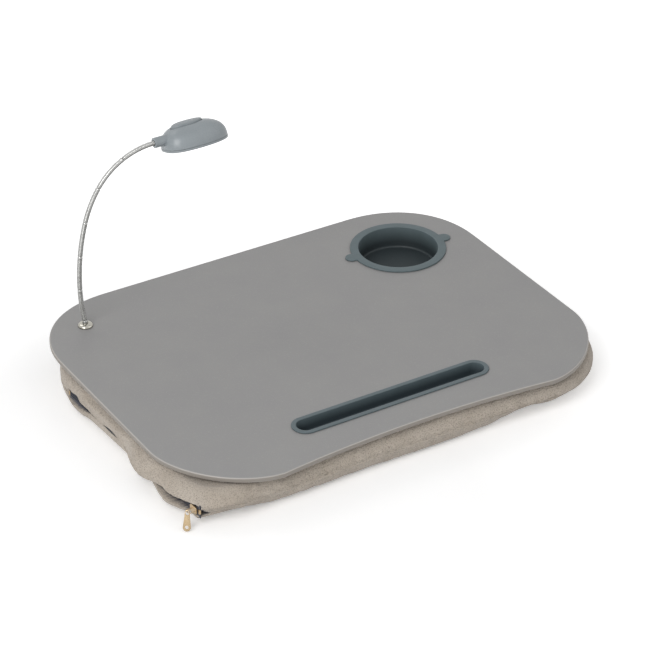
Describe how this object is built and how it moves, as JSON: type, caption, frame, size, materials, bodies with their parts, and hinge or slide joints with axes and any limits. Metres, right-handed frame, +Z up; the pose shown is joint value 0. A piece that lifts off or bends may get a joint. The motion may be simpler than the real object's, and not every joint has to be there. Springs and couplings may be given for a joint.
{
  "type": "cushioned lap desk",
  "caption": "Lap desk: thin board on a soft bead cushion, with a lift-out cup holder, a pen tray, a zip in the flank and a reading lamp on a bendable neck.",
  "frame": {"origin": "on the surface that the cushion rests on, under the middle of the board", "axes": "+Z up, +X to the sitter's right, -Y towards the sitter, along the board's symmetry line"},
  "size_m": [0.4532, 0.341, 0.2177],
  "materials": {
    "board_laminate": "matt grey laminate",
    "fleece": "brushed fleece",
    "bag_ticking": "plain weave",
    "holder_rubber": "satin moulded",
    "tray_rubber": "satin moulded",
    "hook_tape": "hook and loop",
    "bright_nickel": "bright plated",
    "neck_steel": "bright",
    "lamp_plastic": "satin moulded",
    "button_plastic": "satin moulded",
    "clear_plastic": "clear",
    "circuit_green": "solder mask",
    "led_white": "moulded",
    "cell_steel": "bright",
    "switch_black": "moulded",
    "zip_tape": "woven tape",
    "zip_teeth": "moulded",
    "brass": "satin plated"
  },
  "bodies": {
    "desk": {"desk_board": "board_laminate", "cushion_cover": "fleece", "cushion_base": "fleece", "bead_bag": "bag_ticking", "pen_tray": "tray_rubber", "lamp_collar": "bright_nickel", "lamp_stud": "neck_steel", "lamp_washer": "neck_steel", "lamp_nut": "neck_steel", "zipper_chain": "zip_teeth", "zipper_tape_upper": "zip_tape", "zipper_tape_lower": "zip_tape", "zipper_stop_front": "brass", "zipper_stop_rear": "brass", "hook_strip_1": "hook_tape", "loop_strip_1": "hook_tape", "hook_strip_2": "hook_tape", "loop_strip_2": "hook_tape", "hook_strip_3": "hook_tape", "loop_strip_3": "hook_tape", "hook_strip_4": "hook_tape", "loop_strip_4": "hook_tape"},
    "neck_1": {"gooseneck_1": "neck_steel"},
    "neck_2": {"gooseneck_2": "neck_steel"},
    "neck_3": {"gooseneck_3": "neck_steel"},
    "neck_4": {"gooseneck_4": "neck_steel"},
    "neck_5": {"gooseneck_5": "neck_steel"},
    "neck_6": {"gooseneck_6": "neck_steel"},
    "lamp_head": {"head_shell": "lamp_plastic", "head_base": "lamp_plastic", "light_lens": "clear_plastic", "led_board": "circuit_green", "led_1": "led_white", "led_2": "led_white", "led_3": "led_white", "led_4": "led_white", "control_board": "circuit_green", "battery_contact": "brass", "push_switch": "switch_black", "shell_screw_1": "bright_nickel", "shell_screw_2": "bright_nickel"},
    "button": {"power_button": "button_plastic", "switch_plunger": "switch_black"},
    "battery_door": {"battery_cover": "lamp_plastic", "button_cell_1": "cell_steel", "button_cell_2": "cell_steel"},
    "cup_holder": {"cup_holder_insert": "holder_rubber"},
    "slider": {"zipper_slider": "brass"},
    "pull": {"zipper_pull": "brass"}
  },
  "joints": [
    {"name": "neck_bend_1", "type": "hinge", "parent": "desk", "child": "neck_1", "pos_m": [-0.1743, 0.1275, 0.0426], "axis": [0, 1, 0], "range_deg": [-35, 12]},
    {"name": "neck_bend_2", "type": "hinge", "parent": "neck_1", "child": "neck_2", "pos_m": [-0.17785, 0.1275, 0.07637], "axis": [0.9998, 0, 0.0175], "range_deg": [-25, 25]},
    {"name": "neck_bend_3", "type": "hinge", "parent": "neck_2", "child": "neck_3", "pos_m": [-0.17607, 0.1275, 0.1103], "axis": [0, 1, 0], "range_deg": [-35, 12]},
    {"name": "neck_bend_4", "type": "hinge", "parent": "neck_3", "child": "neck_4", "pos_m": [-0.1693, 0.1275, 0.14358], "axis": [0.9613, 0, -0.2756], "range_deg": [-25, 25]},
    {"name": "neck_bend_5", "type": "hinge", "parent": "neck_4", "child": "neck_5", "pos_m": [-0.15499, 0.1275, 0.17427], "axis": [0, 1, 0], "range_deg": [-35, 12]},
    {"name": "neck_bend_6", "type": "hinge", "parent": "neck_5", "child": "neck_6", "pos_m": [-0.12997, 0.1275, 0.19679], "axis": [0.4695, 0, -0.8829], "range_deg": [-25, 25]},
    {"name": "head_twist", "type": "hinge", "parent": "neck_6", "child": "lamp_head", "pos_m": [-0.09731, 0.1275, 0.20494], "axis": [1, 0, 0], "range_deg": [-30, 30]},
    {"name": "power_press", "type": "slide", "parent": "lamp_head", "child": "button", "axis": [0, -0.2924, -0.9563], "range_m": [0, 0.001], "stiffness_N_per_m": 400, "springref_m": -0.001},
    {"name": "battery_twist", "type": "hinge", "parent": "lamp_head", "child": "battery_door", "pos_m": [-0.06431, 0.1275, 0.20494], "axis": [0, 0.2924, 0.9563], "range_deg": [0, 45]},
    {"name": "cup_lift", "type": "slide", "parent": "desk", "child": "cup_holder", "axis": [0, 0, 1], "range_m": [0, 0.03]},
    {"name": "zip_slide", "type": "slide", "parent": "desk", "child": "slider", "axis": [-0.0414, 0.9991, 0], "range_m": [0, 0.205]},
    {"name": "pull_swing", "type": "hinge", "parent": "slider", "child": "pull", "pos_m": [-0.22225, -0.14956, 0.016], "axis": [-0.0414, 0.9991, 0], "range_deg": [0, 75]}
  ]
}
